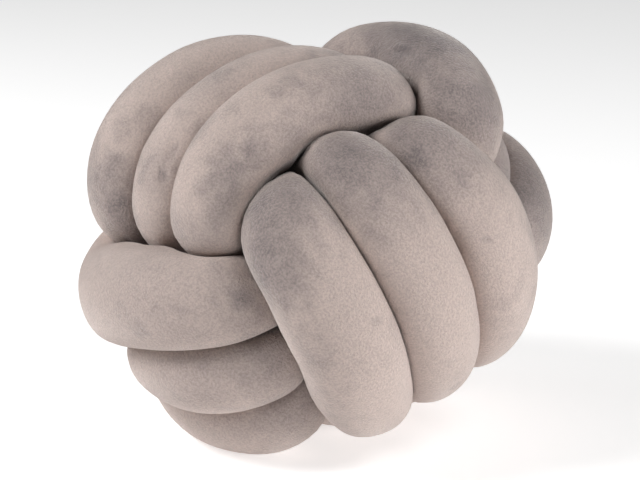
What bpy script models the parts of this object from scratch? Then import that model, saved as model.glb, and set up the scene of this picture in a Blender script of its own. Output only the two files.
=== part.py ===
"""Knot cushion: one long stuffed velvet sleeve, tied into a ball.

The knot is a monkey's fist. Three bands of three turns each go round the ball, one band across each
of its axes. Every band runs over the next band's turns and dives under those of the band before it.
The sleeve is one closed tube: it steps from turn to turn where another band covers it, passes through
the heart of the ball from band to band, and its two ends are sewn to each other in there.

Metres, +Z up, the front towards -Y. The origin is on the floor, below the middle of the ball.
"""
from collections import namedtuple
from math import radians

import bmesh
import bpy
import numpy as np
from mathutils import Euler

# Driving dimensions of the knot
LOBE_RADIUS = 0.118      # from the heart to the sleeve's middle, where a turn shows
DIVE_RADIUS = 0.056      # the same where the turn dives under the crossing band
DIVE_STEEPNESS = 1.9     # how suddenly a turn dives
TURN_LATITUDE = 29.0     # degrees between a band's middle turn and its outer ones
STEP_ANGLE = 45.0        # degrees, either side of the covered spot, in which a turn steps to the next

# The stuffed sleeve
SLEEVE_HEIGHT = 0.034    # half thickness of the free sleeve, out from the ball
SLEEVE_WIDTH = 0.037     # half width along the ball
PRESS_GAP = 0.0032       # left between two stretches of the sleeve that press on each other
PRESS_SHARPNESS = 5      # higher makes squarer corners where the sleeve is pressed
PRESS_RANGE = 0.09       # stretches further apart than this don't touch
PRESS_SKIP = 2           # path points from one tried neighbour to the next
LEAST_HALF = 0.001       # the skin never comes nearer than this to the sleeve's own middle
OWN_STRETCH = 0.095      # neighbours nearer than this along the sleeve don't press on it
BEND_LIMIT = 0.7         # share of a bend's radius that the sleeve may fill on its inner side
BEND_SPAN = 3            # path points either side of the one where a bend is measured

# How the whole ball sits
BALL_POSE = (117.0, 3.0, -60.0)   # degrees about X, Y and Z that turn the knot's axes as it lies
SAG_HEIGHT = 0.91        # its own weight makes the ball lower
SAG_WIDTH = 1.02         # and wider
REST_DEPTH = 0.012       # how deep the flat resting spots are pressed

# Settling of the tied turns into the room between their neighbours
SETTLE_ROUNDS = 4
SETTLE_SHARE = 0.6       # of the way to the middle of its room, each round
SETTLE_SOFTEN = 0.010    # length of sleeve over which a shift is evened out
SETTLE_ANGLES = 24
SETTLE_SKIP = 3          # path points from one measured section to the next

# Fineness of the model
ANGLE_STEP = 3.0         # degrees between the points that draw a turn
PASSAGE_POINTS = 12      # points that draw the way from one way point to the next
PATH_STEP = 0.003
SOFTEN_LENGTH = 0.009
RING_COUNT = 372
RING_SIDES = 16
OUTWARD_SHARE = 0.25     # crowds a ring's points towards its outer side
HIDDEN_SHARE = 0.9       # rings per length in the heart, against 1 where the sleeve shows
HEART_RADIUS = 0.052     # nearer the middle than this, "outwards" gives no steady direction
STEADY_SHARE = 0.5       # of "outwards" that has to lie across the sleeve for it to be steady
VISIBLE_RADIUS = 0.075

# The knot's own axes, before the ball is laid down
FRONT, TOP, SIDE = np.eye(3)
Band = namedtuple("Band", "name over along across")
BANDS = (
    Band("front", over=FRONT, along=TOP, across=SIDE),
    Band("top", over=TOP, along=SIDE, across=FRONT),
    Band("side", over=SIDE, along=FRONT, across=TOP),
)

# Hand tying leaves no two turns alike. A row changes one turn of one band near one angle of its run:
# lift pushes it out (mm), lean moves it across its band, swing turns it on the ball and slide moves it
# along its run (degrees). The change fades out at "reach" degrees from that angle.
Settle = namedtuple("Settle", "band turn at reach lift lean swing slide")
SETTLES = (
    Settle("front", 1, 0, 85, 0, -9, 0, 6),
    Settle("front", 0, 0, 85, -5, -3, -2, 4),
    Settle("front", -1, 0, 85, 0, 6, -6, -2),
    Settle("front", 1, 60, 45, 14, -8, 0, 0),
    Settle("front", 0, 60, 45, 20, 0, 0, 0),
    Settle("front", -1, 50, 45, 5, -4, 0, 0),
    Settle("front", 1, -50, 45, 4, 0, 0, 0),
    Settle("front", 0, -50, 45, 2, 2, 0, 0),
    Settle("front", -1, -50, 45, -5, 3, 0, 0),
    Settle("top", 1, 0, 85, -8, -8, -5, -5),
    Settle("top", 0, 0, 85, -15, -3, 0, 5),
    Settle("top", -1, 0, 85, 3, -3, 0, 9),
    Settle("top", 1, 50, 45, 8, 8, 0, 0),
    Settle("top", 0, 50, 45, 3, 0, 0, 0),
    Settle("top", -1, 50, 45, 9, 0, 0, 0),
    Settle("top", 1, -50, 45, 4, 5, 0, 0),
    Settle("top", -1, -50, 45, -24, 0, 0, 0),
    Settle("top", 1, 180, 85, -23, -15, 0, 0),
    Settle("top", 0, 180, 85, -8, -6, 0, 0),
    Settle("side", 1, 0, 85, 0, -20, 0, 0),
    Settle("side", 0, 0, 85, 0, -2, 0, 0),
    Settle("side", -1, 0, 85, -2, 12, 0, 0),
    Settle("side", 1, -45, 60, 2, -8, 0, 0),
    Settle("side", 0, -35, 60, -16, 0, 0, 0),
    Settle("side", -1, -45, 60, -15, 2, 0, 0),
    Settle("side", -1, 45, 45, 4, -4, 0, 0),
    Settle("side", 1, 180, 85, 9, 0, 0, -8),
    Settle("side", 0, 180, 85, -15, 0, 0, 0),
    Settle("side", -1, 180, 85, 3, 22, 0, 0),
)

# Way points of the passage through the heart, from one band's last turn to the next band's first
Passage = namedtuple("Passage", "over along across")
PASSAGES = (
    Passage(over=-0.012, along=-0.044, across=-0.030),
    Passage(over=0.012, along=0.0, across=-0.020),
    Passage(over=0.030, along=0.026, across=-0.034),
)


def unit(vectors):
    """Each row scaled to length 1."""
    return vectors / np.linalg.norm(vectors, axis=-1, keepdims=True)


def flat_to(vectors, normals):
    """Each row less its part along the matching unit normal."""
    return vectors - (vectors * normals).sum(-1, keepdims=True) * normals


def ease(share):
    """0 to 1 with a gentle start and end."""
    return share * share * (3.0 - 2.0 * share)


def fade(offset, reach):
    """1 at offset 0, falling smoothly to 0 at the reach."""
    share = np.clip(np.abs(offset) / reach, 0.0, 1.0)
    return (1.0 - share * share) ** 2


def turn_points(band, turn, angle):
    """Middle line of the sleeve: turn is +1, 0 or -1 across the band, angle its way round in degrees."""
    swell = np.tanh(DIVE_STEEPNESS * np.cos(2.0 * np.radians(angle))) / np.tanh(DIVE_STEEPNESS)
    radius = (LOBE_RADIUS + DIVE_RADIUS) / 2.0 + (LOBE_RADIUS - DIVE_RADIUS) / 2.0 * swell
    latitude = turn * TURN_LATITUDE
    run = angle.copy()
    for row in SETTLES:
        if row.band != band.name:
            continue
        offset = (angle - row.at + 180.0) % 360.0 - 180.0
        weight = fade(offset, row.reach) * np.clip(1.0 - np.abs(turn - row.turn), 0.0, 1.0)
        radius = radius + row.lift / 1000.0 * weight
        latitude = latitude + row.lean * weight
        latitude = latitude + 2.0 * row.swing * weight * np.clip(offset / row.reach, -1.0, 1.0)
        run = run + row.slide * weight
    latitude = np.radians(latitude)[:, None]
    run = np.radians(run)[:, None]
    level = np.cos(run) * band.over + np.sin(run) * band.along
    return radius[:, None] * (np.cos(latitude) * level + np.sin(latitude) * band.across)


def band_points(band):
    """Three turns of one band, with the two hidden steps between them."""
    start = STEP_ANGLE - 90.0
    end = 3 * 360.0 - 90.0 - STEP_ANGLE
    angle = np.arange(start, end + ANGLE_STEP / 2.0, ANGLE_STEP)
    nearest_step = np.round((angle + 90.0) / 360.0)
    offset = angle + 90.0 - nearest_step * 360.0
    turn = 1.0 - np.floor((angle + 90.0) / 360.0)
    stepping = (np.abs(offset) < STEP_ANGLE) & (nearest_step > 0) & (nearest_step < 3)
    share = ease(np.clip((offset + STEP_ANGLE) / (2.0 * STEP_ANGLE), 0.0, 1.0))
    turn = np.where(stepping, 2.0 - nearest_step - share, turn)
    return turn_points(band, turn, angle)


def curve_between(before, start, end, after, count):
    """Points of a centripetal Catmull-Rom curve from start up to, but not at, end."""
    knots = [0.0]
    for first, second in ((before, start), (start, end), (end, after)):
        knots.append(knots[-1] + np.sqrt(np.linalg.norm(second - first)))
    t0, t1, t2, t3 = knots
    t = np.linspace(t1, t2, count, endpoint=False)[:, None]
    a1 = (t1 - t) / (t1 - t0) * before + (t - t0) / (t1 - t0) * start
    a2 = (t2 - t) / (t2 - t1) * start + (t - t1) / (t2 - t1) * end
    a3 = (t3 - t) / (t3 - t2) * end + (t - t2) / (t3 - t2) * after
    b1 = (t2 - t) / (t2 - t0) * a1 + (t - t0) / (t2 - t0) * a2
    b2 = (t3 - t) / (t3 - t1) * a2 + (t - t1) / (t3 - t1) * a3
    return (t2 - t) / (t2 - t1) * b1 + (t - t1) / (t2 - t1) * b2


def passage_points(band, last_points, next_points):
    """The way through the heart, from the end of this band to the start of the next."""
    stops = [last_points[-2], last_points[-1]]
    for stop in PASSAGES:
        stops.append(stop.over * band.over + stop.along * band.along + stop.across * band.across)
    stops += [next_points[0], next_points[1]]
    pieces = []
    for i in range(1, len(stops) - 2):
        pieces.append(curve_between(stops[i - 1], stops[i], stops[i + 1], stops[i + 2], PASSAGE_POINTS))
    return np.vstack(pieces)[1:]


def even_steps(points, step):
    """A closed path again, with points an even step apart. Also gives its length."""
    closed = np.vstack([points, points[:1]])
    along = np.concatenate([[0.0], np.cumsum(np.linalg.norm(np.diff(closed, axis=0), axis=1))])
    count = int(round(along[-1] / step))
    places = np.arange(count) * along[-1] / count
    even = [np.interp(places, along, closed[:, axis]) for axis in range(3)]
    return np.stack(even, axis=1), along[-1]


def soften(points, step, length):
    """A closed path with its kinks rounded over the given length."""
    reach = int(3 * length / step)
    offsets = np.arange(-reach, reach + 1)
    weights = np.exp(-0.5 * (offsets * step / length) ** 2)
    weights /= weights.sum()
    return sum(weight * np.roll(points, -offset, axis=0) for offset, weight in zip(offsets, weights))


def sleeve_path():
    """The sleeve's whole middle line, laid down and sagged. Also gives its length."""
    bands = [band_points(band) for band in BANDS]
    stretches = []
    for i, band in enumerate(BANDS):
        stretches.append(bands[i])
        stretches.append(passage_points(band, bands[i], bands[(i + 1) % len(BANDS)]))
    pose = np.array(Euler([radians(turn) for turn in BALL_POSE]).to_matrix())
    path = np.vstack(stretches) @ pose.T
    path *= (SAG_WIDTH, SAG_WIDTH, SAG_HEIGHT)
    path, _ = even_steps(path, PATH_STEP)
    path = soften(path, PATH_STEP, SOFTEN_LENGTH)
    return even_steps(path, PATH_STEP)


def sleeve_frames(path):
    """Unit directions at each point of the path: along it, outwards from the ball, and sideways."""
    forward = unit(np.roll(path, -1, axis=0) - np.roll(path, 1, axis=0))
    radius = np.linalg.norm(path, axis=1)
    rough = flat_to(unit(path), forward)
    steady = (radius > HEART_RADIUS) & (np.linalg.norm(rough, axis=1) > STEADY_SHARE)
    outward = unit(rough)
    count = len(path)
    first = int(np.argmax(steady))
    order = (first + np.arange(count + 1)) % count
    position = 0
    while position < count:
        if steady[order[position]]:
            position += 1
            continue
        end = position
        while not steady[order[end]]:
            end += 1
        carry_frames(outward, forward, order[position - 1:end + 1])
        position = end
    return forward, outward, np.cross(forward, outward)


def carry_frames(outward, forward, run):
    """Carries the outward direction along a run without twist, then spreads the twist left at its end."""
    carried = [outward[run[0]]]
    for i in run[1:]:
        carried.append(unit(flat_to(carried[-1], forward[i])))
    last = run[-1]
    twist = np.arctan2(np.dot(np.cross(carried[-1], outward[last]), forward[last]),
                       np.dot(carried[-1], outward[last]))
    for place in range(1, len(run) - 1):
        i = run[place]
        angle = ease(place / (len(run) - 1)) * twist
        outward[i] = np.cos(angle) * carried[place] + np.sin(angle) * np.cross(forward[i], carried[place])


def ring_places(path):
    """Numbers of the path's points that get a ring, fewer of them in the heart."""
    share = np.where(np.linalg.norm(path, axis=1) > VISIBLE_RADIUS, 1.0, HIDDEN_SHARE)
    filled = np.concatenate([[0.0], np.cumsum(share)])
    return np.searchsorted(filled, (np.arange(RING_COUNT) + 0.5) * filled[-1] / RING_COUNT) - 1


def pressed_sections(path, length, places, around):
    """Outlines of the sleeve at the given places: unit rays and how far the skin lies along each.

    The free sleeve is an oval. Where another stretch of it lies near, the skin stays on its own side
    of the plane half way between their middle lines, so the two press flat against each other.
    """
    forward, outward, sideways = sleeve_frames(path)
    step = length / len(path)
    bend = np.roll(path, -BEND_SPAN, axis=0) + np.roll(path, BEND_SPAN, axis=0) - 2.0 * path
    bend /= (BEND_SPAN * step) ** 2
    bend = flat_to(bend, forward)
    free = 1.0 / np.hypot(np.cos(around) / SLEEVE_HEIGHT, np.sin(around) / SLEEVE_WIDTH)
    others = np.arange(0, len(path), PRESS_SKIP)
    all_rays = []
    reaches = []
    for i in places:
        rays = np.cos(around)[:, None] * outward[i] + np.sin(around)[:, None] * sideways[i]
        apart = np.abs(others - i) * step
        apart = np.minimum(apart, length - apart)
        towards = path[others] - path[i]
        distance = np.linalg.norm(towards, axis=1)
        near = (apart > OWN_STRETCH) & (distance < PRESS_RANGE)
        half_way = np.maximum((distance[near] - PRESS_GAP) / 2.0, LEAST_HALF)
        facing = (rays @ (towards[near] / distance[near][:, None]).T / half_way).max(axis=1)
        squeeze = free ** -PRESS_SHARPNESS
        squeeze = squeeze + np.clip(facing, 0.0, None) ** PRESS_SHARPNESS
        squeeze = squeeze + np.clip(rays @ bend[i] / BEND_LIMIT, 0.0, None) ** PRESS_SHARPNESS
        all_rays.append(rays)
        reaches.append(squeeze ** (-1.0 / PRESS_SHARPNESS))
    return np.array(all_rays), np.array(reaches)


def settled(path, length):
    """The path again, with each stretch nearer the middle of its room, but not further out."""
    around = np.arange(SETTLE_ANGLES) * 2.0 * np.pi / SETTLE_ANGLES
    for _ in range(SETTLE_ROUNDS):
        places = np.arange(0, len(path), SETTLE_SKIP)
        rays, reaches = pressed_sections(path, length, places, around)
        shift = (reaches[..., None] ** 3 * rays).sum(axis=1) / (1.5 * (reaches ** 2).sum(axis=1)[:, None])
        ends = np.append(places, len(path))
        shift = np.vstack([shift, shift[:1]])
        numbers = np.arange(len(path))
        shift = np.stack([np.interp(numbers, ends, shift[:, axis]) for axis in range(3)], axis=1)
        out = unit(path)
        shift -= np.clip((shift * out).sum(axis=1, keepdims=True), 0.0, None) * out
        path = path + SETTLE_SHARE * soften(shift, PATH_STEP, SETTLE_SOFTEN)
        path, length = even_steps(soften(path, PATH_STEP, SOFTEN_LENGTH / 2.0), PATH_STEP)
    return path, length


def pressed_rings(path, length):
    """Rings of points on the sleeve's skin."""
    even = np.arange(RING_SIDES) * 2.0 * np.pi / RING_SIDES
    around = even - OUTWARD_SHARE * np.sin(even)
    places = ring_places(path)
    rays, reaches = pressed_sections(path, length, places, around)
    return path[places][:, None] + reaches[..., None] * rays


def lay_on_floor(rings):
    """Presses the lowest spots flat and puts the origin under the middle, on the floor."""
    floor = rings[..., 2].min() + REST_DEPTH
    rings[..., 2] = np.maximum(rings[..., 2], floor)
    low = rings.reshape(-1, 3).min(axis=0)
    high = rings.reshape(-1, 3).max(axis=0)
    rings -= ((low[0] + high[0]) / 2.0, (low[1] + high[1]) / 2.0, floor)
    return rings


def sleeve_mesh(rings):
    """A closed tube of four-sided faces through the rings."""
    mesh = bmesh.new()
    loops = [[mesh.verts.new(point) for point in ring] for ring in rings]
    for i, loop in enumerate(loops):
        following = loops[(i + 1) % len(loops)]
        for j in range(RING_SIDES):
            beside = (j + 1) % RING_SIDES
            mesh.faces.new((loop[j], following[j], following[beside], loop[beside]))
    bmesh.ops.recalc_face_normals(mesh, faces=mesh.faces)
    data = bpy.data.meshes.new("knotted_sleeve")
    mesh.to_mesh(data)
    mesh.free()
    data.shade_smooth()
    return data


def velvet_material():
    """Taupe short-pile velvet."""
    material = bpy.data.materials.new("taupe_velvet")
    material.use_nodes = True
    shader = material.node_tree.nodes["Principled BSDF"]
    shader.inputs["Base Color"].default_value = (0.42, 0.35, 0.32, 1.0)
    shader.inputs["Roughness"].default_value = 0.92
    shader.inputs["Metallic"].default_value = 0.0
    shader.inputs["Sheen Weight"].default_value = 0.6
    return material


def knotted_sleeve():
    """The whole cushion: the one stuffed sleeve in its knot."""
    path, length = settled(*sleeve_path())
    data = sleeve_mesh(lay_on_floor(pressed_rings(path, length)))
    data.materials.append(velvet_material())
    sleeve = bpy.data.objects.new("knotted_sleeve", data)
    bpy.context.scene.collection.objects.link(sleeve)
    return sleeve


for old in list(bpy.data.objects):
    bpy.data.objects.remove(old)
knotted_sleeve()
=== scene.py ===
"""Knot cushion, dressed: the stuffed velvet sleeve in its knot, on a plain pale floor."""
from math import cos, radians, sin

import bmesh
import bpy
import numpy as np
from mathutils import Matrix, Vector, noise
from mathutils.bvhtree import BVHTree


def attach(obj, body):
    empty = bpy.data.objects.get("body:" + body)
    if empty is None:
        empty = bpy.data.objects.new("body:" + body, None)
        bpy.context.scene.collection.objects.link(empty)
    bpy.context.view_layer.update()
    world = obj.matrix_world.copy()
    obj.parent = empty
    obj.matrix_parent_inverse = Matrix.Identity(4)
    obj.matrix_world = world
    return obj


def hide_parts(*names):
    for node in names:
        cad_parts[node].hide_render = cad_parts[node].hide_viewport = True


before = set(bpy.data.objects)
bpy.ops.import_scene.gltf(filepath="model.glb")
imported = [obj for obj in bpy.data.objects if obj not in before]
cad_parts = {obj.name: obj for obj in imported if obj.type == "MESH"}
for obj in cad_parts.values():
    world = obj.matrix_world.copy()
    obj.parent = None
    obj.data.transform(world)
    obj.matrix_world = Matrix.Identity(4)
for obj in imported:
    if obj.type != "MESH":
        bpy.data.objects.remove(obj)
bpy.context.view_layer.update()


# --- Camera and studio ------------------------------------------------------------------------
# A long lens looks slightly down at the ball. Soft boxes stand on both sides of it, none hangs
# straight above, and the white floor throws light back up under the turns.
VIEW_ELEVATION = radians(15.0)
VIEW_DISTANCE = 1.5
VIEW_TARGET = Vector((0.0019, 0.0004, 0.118))
LENS = 133.9
SENSOR_WIDTH = 36.0

camera_data = bpy.data.cameras.new("studio_camera")
camera_data.lens = LENS
camera_data.sensor_width = SENSOR_WIDTH
camera = bpy.data.objects.new("studio_camera", camera_data)
camera_side = Vector((0.0, -cos(VIEW_ELEVATION), sin(VIEW_ELEVATION)))
camera.location = VIEW_TARGET + VIEW_DISTANCE * camera_side
camera.rotation_euler = (radians(90.0) - VIEW_ELEVATION, 0.0, 0.0)
bpy.context.scene.collection.objects.link(camera)
bpy.context.scene.camera = camera
bpy.context.scene.view_settings.view_transform = "Standard"

STUDIO_LIGHTS = (
    # name, place, width, height, power
    ("soft_box_left", (-1.87, 0.5, 0.65), 0.9, 0.6, 9.0),
    ("soft_box_high_left", (-1.37, -0.37, 1.55), 0.9, 0.6, 30.0),
    ("soft_box_high_right", (1.0, -1.0, 1.55), 0.9, 0.6, 13.0),
    ("soft_box_low_right", (1.92, -0.52, 0.32), 0.9, 0.6, 22.0),
)
for name, place, width, height, power in STUDIO_LIGHTS:
    light_data = bpy.data.lights.new(name, "AREA")
    light_data.shape = "RECTANGLE"
    light_data.size = width
    light_data.size_y = height
    light_data.energy = power
    light = bpy.data.objects.new(name, light_data)
    light.location = place
    light.rotation_euler = (VIEW_TARGET - Vector(place)).to_track_quat("-Z", "Y").to_euler()
    bpy.context.scene.collection.objects.link(light)

AIR_COLOUR = (1.0, 0.99, 0.98, 1.0)
AIR_GLOW = 0.02
studio_air = bpy.data.worlds.new("studio_air")
studio_air.use_nodes = True
air_shader = studio_air.node_tree.nodes["Background"]
air_shader.inputs["Color"].default_value = AIR_COLOUR
air_shader.inputs["Strength"].default_value = AIR_GLOW
bpy.context.scene.world = studio_air

FLOOR_SPAN = 12.0
FLOOR_LOOK = {
    "Base Color": (0.86, 0.86, 0.86, 1.0),
    "Roughness": 0.9,
    "Emission Color": (1.0, 1.0, 1.0, 1.0),
    "Emission Strength": 0.53,
}
floor_mesh = bmesh.new()
bmesh.ops.create_grid(floor_mesh, x_segments=1, y_segments=1, size=FLOOR_SPAN / 2.0)
floor_data = bpy.data.meshes.new("studio_floor")
floor_mesh.to_mesh(floor_data)
floor_mesh.free()
floor_paint = bpy.data.materials.new("pale_floor")
floor_paint.use_nodes = True
for setting, value in FLOOR_LOOK.items():
    floor_paint.node_tree.nodes["Principled BSDF"].inputs[setting].default_value = value
floor_data.materials.append(floor_paint)
floor = bpy.data.objects.new("studio_floor", floor_data)
bpy.context.scene.collection.objects.link(floor)


# --- Knotted sleeve ---------------------------------------------------------------------------
# One long sleeve of short-pile velvet, stuffed firm and tied into a ball. Its two ends are sewn to
# each other inside the knot, so the skin is one closed tube.
MERGE_DISTANCE = 0.00002
JOIN_ANGLE = radians(180.0)   # every pair of triangles that can make a quad does
SKIN_LEVELS = 2
SHADE_RAYS = 48
SHADE_LIMIT = 0.06            # a stretch further away than this hides nothing
GOLDEN_TURN = radians(137.5)  # from one ray to the next, so that they spread evenly
START_GAP = 0.0001            # rays start this far off the skin
BALL_MIDDLE = Vector((0.0, 0.0, 0.12))
OUTSIDE = 0.4                 # a spot on the ball is found from this far outside it
MM_PER_METRE = 1000.0


def ball_spot(surface, around, height):
    """A surface's place and normal at an angle round the ball (0 in front) and a height angle."""
    around, height = radians(around), radians(height)
    out = Vector((sin(around) * cos(height), -cos(around) * cos(height), sin(height)))
    place, normal, _, _ = surface.ray_cast(BALL_MIDDLE + OUTSIDE * out, -out)
    return np.array(place), np.array(normal)


def hidden_share(surface, point, normal):
    """Which share of the sky above a spot on the skin other stretches of the sleeve cover."""
    side = normal.orthogonal().normalized()
    across = normal.cross(side)
    start = point + START_GAP * normal
    covered = 0
    for number in range(SHADE_RAYS):
        rise = (number + 0.5) / SHADE_RAYS
        turn = number * GOLDEN_TURN
        lean = (1.0 - rise) ** 0.5
        ray = rise ** 0.5 * normal + lean * (cos(turn) * side + sin(turn) * across)
        covered += surface.ray_cast(start, ray, SHADE_LIMIT)[0] is not None
    return covered / SHADE_RAYS


sewn = bmesh.new()
sewn.from_mesh(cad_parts["knotted_sleeve"].data)
bmesh.ops.remove_doubles(sewn, verts=sewn.verts, dist=MERGE_DISTANCE)
bmesh.ops.join_triangles(
    sewn,
    faces=sewn.faces,
    angle_face_threshold=JOIN_ANGLE,
    angle_shape_threshold=JOIN_ANGLE,
)
sewn.normal_update()
sewn_surface = BVHTree.FromBMesh(sewn)
hidden = sewn.verts.layers.float.new("hidden")
for corner in sewn.verts:
    corner[hidden] = hidden_share(sewn_surface, corner.co, corner.normal)
sewn_data = bpy.data.meshes.new("sewn_sleeve")
sewn.to_mesh(sewn_data)
sewn.free()
sewn_sleeve = bpy.data.objects.new("sewn_sleeve", sewn_data)
bpy.context.scene.collection.objects.link(sewn_sleeve)
rounding = sewn_sleeve.modifiers.new("rounding", "SUBSURF")
rounding.levels = SKIN_LEVELS
rounding.render_levels = SKIN_LEVELS
rounded = sewn_sleeve.evaluated_get(bpy.context.evaluated_depsgraph_get())
skin_data = bpy.data.meshes.new_from_object(rounded)
bpy.data.objects.remove(sewn_sleeve)

skin = bmesh.new()
skin.from_mesh(skin_data)
skin.normal_update()
skin_surface = BVHTree.FromBMesh(skin)

# The skin is pinched into short folds where it turns in under the next stretch: angle round the
# ball and height angle of both ends, width and depth in millimetres.
FOLDS = (
    (82, 65, 72, 59, 1.8, 2.6), (71, 61, 65, 56, 1.5, 2.0), (95, 68, 80, 63, 2.4, 1.0),
)
FOLD_BORDER = 0.008       # the skin is cut finer this far from a fold's line
FOLD_CUTS = 2
fold_lines = []
for start_around, start_height, end_around, end_height, width, depth in FOLDS:
    start, facing = ball_spot(skin_surface, start_around, start_height)
    end, _ = ball_spot(skin_surface, end_around, end_height)
    fold_lines.append((start, end, facing, width / MM_PER_METRE, depth / MM_PER_METRE))


def beside_line(places, start, end):
    """How far places lie from a line, the same as vectors, and which share along it they lie."""
    along = np.clip((places - start) @ (end - start) / np.sum((end - start) ** 2), 0.0, 1.0)
    offset = places - (start + along[:, None] * (end - start))
    return np.linalg.norm(offset, axis=1), offset, along


for start, end, _, _, _ in fold_lines:
    middles = np.array([edge.verts[0].co + edge.verts[1].co for edge in skin.edges]) / 2.0
    skin.edges.ensure_lookup_table()
    close = np.flatnonzero(beside_line(middles, start, end)[0] < FOLD_BORDER)
    bmesh.ops.subdivide_edges(
        skin,
        edges=[skin.edges[number] for number in close],
        cuts=FOLD_CUTS,
        use_grid_fill=True,
    )
# The skin is cut to triangles now, so that the search for crossings below sees its final faces.
between_two = [corner for corner in skin.verts if len(corner.link_edges) == 2]
bmesh.ops.dissolve_verts(skin, verts=between_two)
bmesh.ops.triangulate(skin, faces=skin.faces, quad_method="SHORT_EDGE")
skin.verts.index_update()
skin.normal_update()
rest = np.array([corner.co for corner in skin.verts])
normals = np.array([corner.normal for corner in skin.verts])

# The stuffing fills the skin out, a little unevenly, until the next stretch stops it. It goes
# furthest into the creases, so that the stretches press tight on each other there.
FULLNESS = 0.0016
CREASE_FILL = 0.0028
OPEN_SHARE = 0.15         # hidden share of a spot where the extra filling starts
CREASE_SHARE = 0.5        # and where it is full
LUMP_SPACING = 0.045
LUMP_HEIGHT = 0.0007
CLEARANCE = 0.00025       # left between two stretches that press on each other
ROOM_LIMIT = 0.05         # a stretch further away than this stops nothing
SPREAD_PASSES = 3
joined = np.array([[corner.index for corner in edge.verts] for edge in skin.edges])
partners = 1 + np.bincount(joined.ravel(), minlength=len(rest))


def spread(values):
    """Each point's value averaged with those of the points beside it."""
    total = values + np.bincount(joined[:, 0], values[joined[:, 1]], len(values))
    return (total + np.bincount(joined[:, 1], values[joined[:, 0]], len(values))) / partners


swell = np.zeros(len(rest))
room = np.zeros(len(rest))
hidden_layer = skin.verts.layers.float["hidden"]
for corner in skin.verts:
    lump = LUMP_HEIGHT * noise.noise(corner.co / LUMP_SPACING)
    start = corner.co + START_GAP * corner.normal
    met, _, _, distance = skin_surface.ray_cast(start, corner.normal, ROOM_LIMIT)
    crease = np.clip((corner[hidden_layer] - OPEN_SHARE) / (CREASE_SHARE - OPEN_SHARE), 0.0, 1.0)
    swell[corner.index] = FULLNESS + lump + CREASE_FILL * crease
    room[corner.index] = ROOM_LIMIT if met is None else max(0.0, distance - CLEARANCE) / 2.0
for number in range(SPREAD_PASSES):
    swell = np.minimum(spread(np.minimum(swell, room)), room)
points = rest + swell[:, None] * normals

# Wide darker patches: painted shade where the turns face away from the lamps or lie under the next
# stretch, and pile turned the other way by handling. They fade out softly: angle round the ball,
# height angle, reach in millimetres and strength.
SHADE_AND_NAP_PATCHES = (
    (-13, 24, 58, 1.05), (-12, 8, 45, 0.95), (12, 36, 62, 1.05), (18, 24, 40, 0.5),
    (37, 38, 60, 0.9), (45, 30, 44, 0.4), (23, 55, 54, 0.85), (6, 52, 42, 0.35),
    (-16, 0, 44, 0.55), (-9, -17, 60, 0.7), (-6, -38, 52, 0.7), (-32, 12, 34, 0.4),
    (-22, 20, 34, 0.45), (-8, 42, 24, 0.5), (-70, 56, 36, 0.45), (-57, 26, 26, 0.4),
    (-45, -3, 75, 0.3), (-35, -20, 75, 0.4), (-30, -40, 75, 0.35), (-77, 31, 32, 0.7),
    (-73, 8, 38, 0.95), (-82, 16, 38, 0.7), (-74, 22, 34, 0.85), (-42, 13, 24, 0.65),
    (-42, 40, 18, 0.6), (95, 62, 95, 1.25), (64, 44, 66, 1.0), (88, 14, 85, 1.1),
    (150, 20, 90, 0.6), (-140, -10, 90, 0.6), (180, 50, 80, 0.6), (-150, 40, 75, 0.5),
    (140, -25, 80, 0.6), (-110, 35, 60, 0.5), (105, -20, 70, 0.5), (180, -15, 75, 0.5),
)
SHADE_AND_NAP_SOFTNESS = 1.7    # higher gathers a patch more at its middle
# Finger tips leave small marks with a clearer edge.
FINGER_MARKS = (
    (-22, 36, 6, 0.45), (-19, 33, 5, 0.5), (-20, 29, 7, 0.4), (-15, 35, 7, 0.3),
    (-7, 43, 9, 0.4), (-17, 54, 7, 0.35), (-12, 57, 8, 0.35), (-32, 46, 8, 0.3),
    (-23, 17, 10, 0.4), (-76, 22, 14, 0.35), (-80, 31, 10, 0.35), (-74, 16, 12, 0.3),
    (-80, 37, 13, 0.35), (-51, 29, 8, 0.3), (-54, 33, 4, 0.6),
    (-54, 27, 4, 0.6), (-51, 42, 9, 0.4), (-20, -2, 8, 0.35), (-16, -6, 7, 0.3),
    (-10, 15, 12, 0.2), (32, 33, 10, 0.3), (44, 11, 4, 0.5), (8, -35, 4, 0.5),
    (-125, 10, 12, 0.4), (165, 35, 14, 0.4), (-100, -15, 14, 0.3), (130, 45, 14, 0.3),
)
MARK_EDGE = 1.6           # higher makes the edge of a finger mark clearer
EDGE_WANDER = 0.45        # share by which the reach of both varies from place to place
EDGE_SPACING = 0.008
FACING_GAIN = 2.0         # a patch stays on the side of the sleeve that faces as its middle does
FACING_START = 0.6
wander = np.array([noise.noise(Vector(point / EDGE_SPACING)) for point in points])


def nearness(around, height, reach):
    """How near the skin's points lie to a spot: 1 there, 0 from its reach on."""
    spot, facing = ball_spot(skin_surface, around, height)
    away = np.linalg.norm(points - spot, axis=1) * MM_PER_METRE / reach
    away *= 1.0 + EDGE_WANDER * wander
    same_side = np.clip(FACING_GAIN * normals @ facing + FACING_START, 0.0, 1.0)
    return np.clip(1.0 - away ** 2, 0.0, 1.0) * same_side


# Painted shade and turned pile from the wide patches, then the finger marks on top.
painted_shade_and_pile_marks = np.zeros(len(points))
for around, height, reach, strength in SHADE_AND_NAP_PATCHES:
    patch = nearness(around, height, reach) ** SHADE_AND_NAP_SOFTNESS
    painted_shade_and_pile_marks = np.maximum(painted_shade_and_pile_marks, strength * patch)
marked = np.zeros(len(points))
for around, height, reach, strength in FINGER_MARKS:
    mark = np.clip(MARK_EDGE * nearness(around, height, reach), 0.0, 1.0)
    marked = np.maximum(marked, strength * mark)
painted_shade_and_pile_marks += marked

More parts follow.
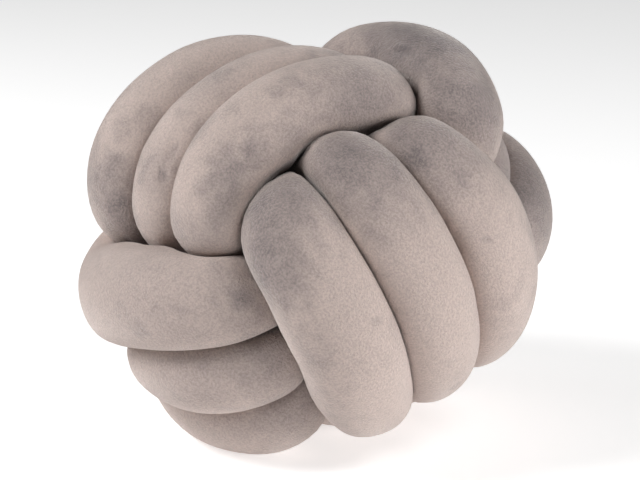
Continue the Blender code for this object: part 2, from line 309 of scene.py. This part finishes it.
# Small dents in the stuffing: angle round the ball, height angle, reach and depth in millimetres.
DENTS = (
    (-54, 33, 6, 2.6), (-54, 27, 6, 2.4), (-52, 37, 5, 0.8), (44, 11, 5, 0.7), (8, -35, 5, 0.7),
    (-20, 33, 7, 0.8), (160, 10, 8, 1.0), (-120, 25, 7, 0.9),
)
for around, height, reach, depth in DENTS:
    spot, facing = ball_spot(skin_surface, around, height)
    away = np.linalg.norm(points - spot, axis=1) * MM_PER_METRE / reach
    dent = depth / MM_PER_METRE * np.clip(1.0 - away ** 2, 0.0, 1.0) ** 2
    points -= dent[:, None] * facing

# A fold is a groove with a lower ridge beside it, and runs out towards its ends.
RIDGE_HEIGHT = 0.7        # share of the groove's depth
RIDGE_PLACE = 2.0         # widths from the groove to the ridge
FOLD_REACH = 3.0          # widths from the line at which a fold ends
END_FADE = 8.0            # higher keeps a fold deep closer to its ends
for start, end, facing, width, depth in fold_lines:
    away, offset, along = beside_line(points, start, end)
    side = np.cross(facing, end - start)
    side /= np.linalg.norm(side)
    lift = offset @ side
    fading = np.clip(END_FADE * along * (1.0 - along), 0.0, 1.0)
    fading *= np.clip(FOLD_REACH - away / width, 0.0, 1.0)
    ridge = RIDGE_HEIGHT * np.exp(-((lift - RIDGE_PLACE * width) / width) ** 2)
    groove = np.exp(-(lift / width) ** 2)
    points += (depth * fading * (ridge - groove))[:, None] * facing

# Stretches that touch lean on each other: where the skin would cut through itself it is let back
# towards its plain rounded shape, a little at a time, until nothing crosses or the tries run out.
SETTLE_TRIES = 14
SETTLE_STEP = 0.6
face_corners = np.array([[corner.index for corner in face.verts] for face in skin.faces])
held = np.ones(len(rest))
for number in range(SETTLE_TRIES):
    places = rest + held[:, None] * (points - rest)
    places[:, 2] = np.maximum(places[:, 2], 0.0)
    for corner in skin.verts:
        corner.co = places[corner.index]
    settled = BVHTree.FromBMesh(skin)
    pairs = np.array(settled.overlap(settled), dtype=int).reshape(-1, 2)
    first = face_corners[pairs[:, 0]][:, :, None]
    second = face_corners[pairs[:, 1]][:, None, :]
    neighbours = (first == second).any(axis=(1, 2))
    caught = np.unique(face_corners[pairs[~neighbours]])
    if not len(caught):
        break
    held[caught] *= SETTLE_STEP
    held = np.minimum(held, spread(held))

# Painted shade and pile marks are kept on the skin's points for the colour.
shade_and_pile_mark_layer = skin.verts.layers.float.new("painted_shade_and_pile_marks")
for corner in skin.verts:
    corner[shade_and_pile_mark_layer] = painted_shade_and_pile_marks[corner.index]
skin.to_mesh(skin_data)
skin.free()
skin_data.shade_smooth()

PILE_COLOUR = (0.52, 0.427, 0.391, 1.0)     # where the pile stands up
DARK_PILE_AND_SHADE_COLOUR = (0.28, 0.236, 0.226, 1.0)  # darker pile, and painted shade
VELVET_LOOK = {
    "Roughness": 0.95,
    "Specular IOR Level": 0.08,
    "Sheen Weight": 0.85,
    "Sheen Roughness": 0.3,
    "Sheen Tint": (1.0, 0.93, 0.89, 1.0),
}
# Noises in the cloth: scale per metre, detail, distortion, roughness and turn in degrees
PATCH_NOISE = (13.0, 2.0, 0.3, 0.5, 0.0)
SMUDGE_NOISE = (42.0, 2.0, 0.4, 0.5, 20.0)
MOTTLE_NOISE = (75.0, 3.0, 0.0, 0.55, 0.0)
CLUMP_NOISE = (700.0, 1.0, 0.0, 0.5, 35.0)
FIBRE_NOISE = (1400.0, 2.0, 0.0, 0.7, 60.0)
TURN_SHARES = (1.0, 0.7, 1.3)               # of a noise's turn, about X, Y and Z
# Steps from pile (0) to the dark colour of turned pile and painted shade (1): a value's low and
# high, and what it becomes there
PATCH_STEP = (0.45, 0.7, 0.0, 0.2)
SMUDGE_STEP = (0.56, 0.66, 0.0, 1.6)
MOTTLE_STEP = (0.3, 0.7, 0.0, 1.0)
MOTTLE_STRENGTH = (0.0, 1.0, 0.9, 1.1)
CREASE_PAINTED_LIGHT = (0.3, 0.6, 0.0, -0.2)          # painted light: colour made lighter beside a crease
CREASE_PAINTED_SHADE = (0.6, 0.85, 0.0, 0.8)        # and painted shade: darker far inside it
GRAIN_STEP = (0.36, 0.64, 0.26, -0.26)
GRAIN_SHARE = 0.5                           # of the fibres, and of their clumps
NAP_HEIGHT = 0.0012

velvet = bpy.data.materials.new("taupe_velvet")
velvet.use_nodes = True
tree = velvet.node_tree
shader = tree.nodes["Principled BSDF"]
for setting, value in VELVET_LOOK.items():
    shader.inputs[setting].default_value = value
cloth_place = tree.nodes.new("ShaderNodeTexCoord")


def velvet_noise(scale, detail, distortion, roughness, turn):
    """Noise through the cloth at the given scale, per metre, turned by an angle in degrees."""
    cloud = tree.nodes.new("ShaderNodeTexNoise")
    place = tree.nodes.new("ShaderNodeMapping")
    place.inputs["Rotation"].default_value = [radians(share * turn) for share in TURN_SHARES]
    tree.links.new(cloth_place.outputs["Object"], place.inputs["Vector"])
    cloud.inputs["Scale"].default_value = scale
    cloud.inputs["Detail"].default_value = detail
    cloud.inputs["Roughness"].default_value = roughness
    cloud.inputs["Distortion"].default_value = distortion
    tree.links.new(place.outputs["Vector"], cloud.inputs["Vector"])
    return cloud.outputs["Fac"]


def velvet_mark(name):
    """A value kept on the skin's points."""
    mark = tree.nodes.new("ShaderNodeAttribute")
    mark.attribute_name = name
    return mark.outputs["Fac"]


def velvet_range(value, low, high, to_low, to_high):
    """Stretches a value's low to high range, with a soft start and end."""
    stretch = tree.nodes.new("ShaderNodeMapRange")
    stretch.interpolation_type = "SMOOTHSTEP"
    stretch.inputs["From Min"].default_value = low
    stretch.inputs["From Max"].default_value = high
    stretch.inputs["To Min"].default_value = to_low
    stretch.inputs["To Max"].default_value = to_high
    tree.links.new(value, stretch.inputs["Value"])
    return stretch.outputs["Result"]


def velvet_math(operation, first, second):
    """One sum or product of two values in the cloth's material."""
    step = tree.nodes.new("ShaderNodeMath")
    step.operation = operation
    for number, value in enumerate((first, second)):
        if isinstance(value, float):
            step.inputs[number].default_value = value
        else:
            tree.links.new(value, step.inputs[number])
    return step.outputs["Value"]


patches = velvet_range(velvet_noise(*PATCH_NOISE), *PATCH_STEP)
smudges = velvet_range(velvet_noise(*SMUDGE_NOISE), *SMUDGE_STEP)
mottle = velvet_range(velvet_noise(*MOTTLE_NOISE), *MOTTLE_STEP)
clumps = velvet_noise(*CLUMP_NOISE)
fibres = velvet_noise(*FIBRE_NOISE)

# Darker patches from noise, painted shade with pile marks, then painted light and shade by the
# creases.
turned_pile_and_shade = velvet_math("ADD", velvet_math("MULTIPLY", patches, smudges), velvet_mark("painted_shade_and_pile_marks"))
turned_pile_and_shade = velvet_math("MULTIPLY", turned_pile_and_shade, velvet_range(mottle, *MOTTLE_STRENGTH))
# Painted light on the flanks beside creases, and painted shade deep inside them, from the hidden
# share.
turned_pile_and_shade = velvet_math("ADD", turned_pile_and_shade, velvet_range(velvet_mark("hidden"), *CREASE_PAINTED_LIGHT))
turned_pile_and_shade = velvet_math("ADD", turned_pile_and_shade, velvet_range(velvet_mark("hidden"), *CREASE_PAINTED_SHADE))
grain = velvet_math(
    "ADD",
    velvet_math("MULTIPLY", fibres, GRAIN_SHARE),
    velvet_math("MULTIPLY", clumps, GRAIN_SHARE),
)
tone = velvet_math("ADD", turned_pile_and_shade, velvet_range(grain, *GRAIN_STEP))
colour = tree.nodes.new("ShaderNodeMix")
colour.data_type = "RGBA"
colour.clamp_factor = False
colour.inputs["A"].default_value = PILE_COLOUR
colour.inputs["B"].default_value = DARK_PILE_AND_SHADE_COLOUR
tree.links.new(tone, colour.inputs["Factor"])
tree.links.new(colour.outputs["Result"], shader.inputs["Base Color"])

nap = tree.nodes.new("ShaderNodeBump")
nap.inputs["Strength"].default_value = 1.0
nap.inputs["Distance"].default_value = NAP_HEIGHT
tree.links.new(grain, nap.inputs["Height"])
tree.links.new(nap.outputs["Normal"], shader.inputs["Normal"])
skin_data.materials.clear()
skin_data.materials.append(velvet)

cushion = bpy.data.objects.new("velvet_sleeve", skin_data)
bpy.context.scene.collection.objects.link(cushion)
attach(cushion, "root")
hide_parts("knotted_sleeve")
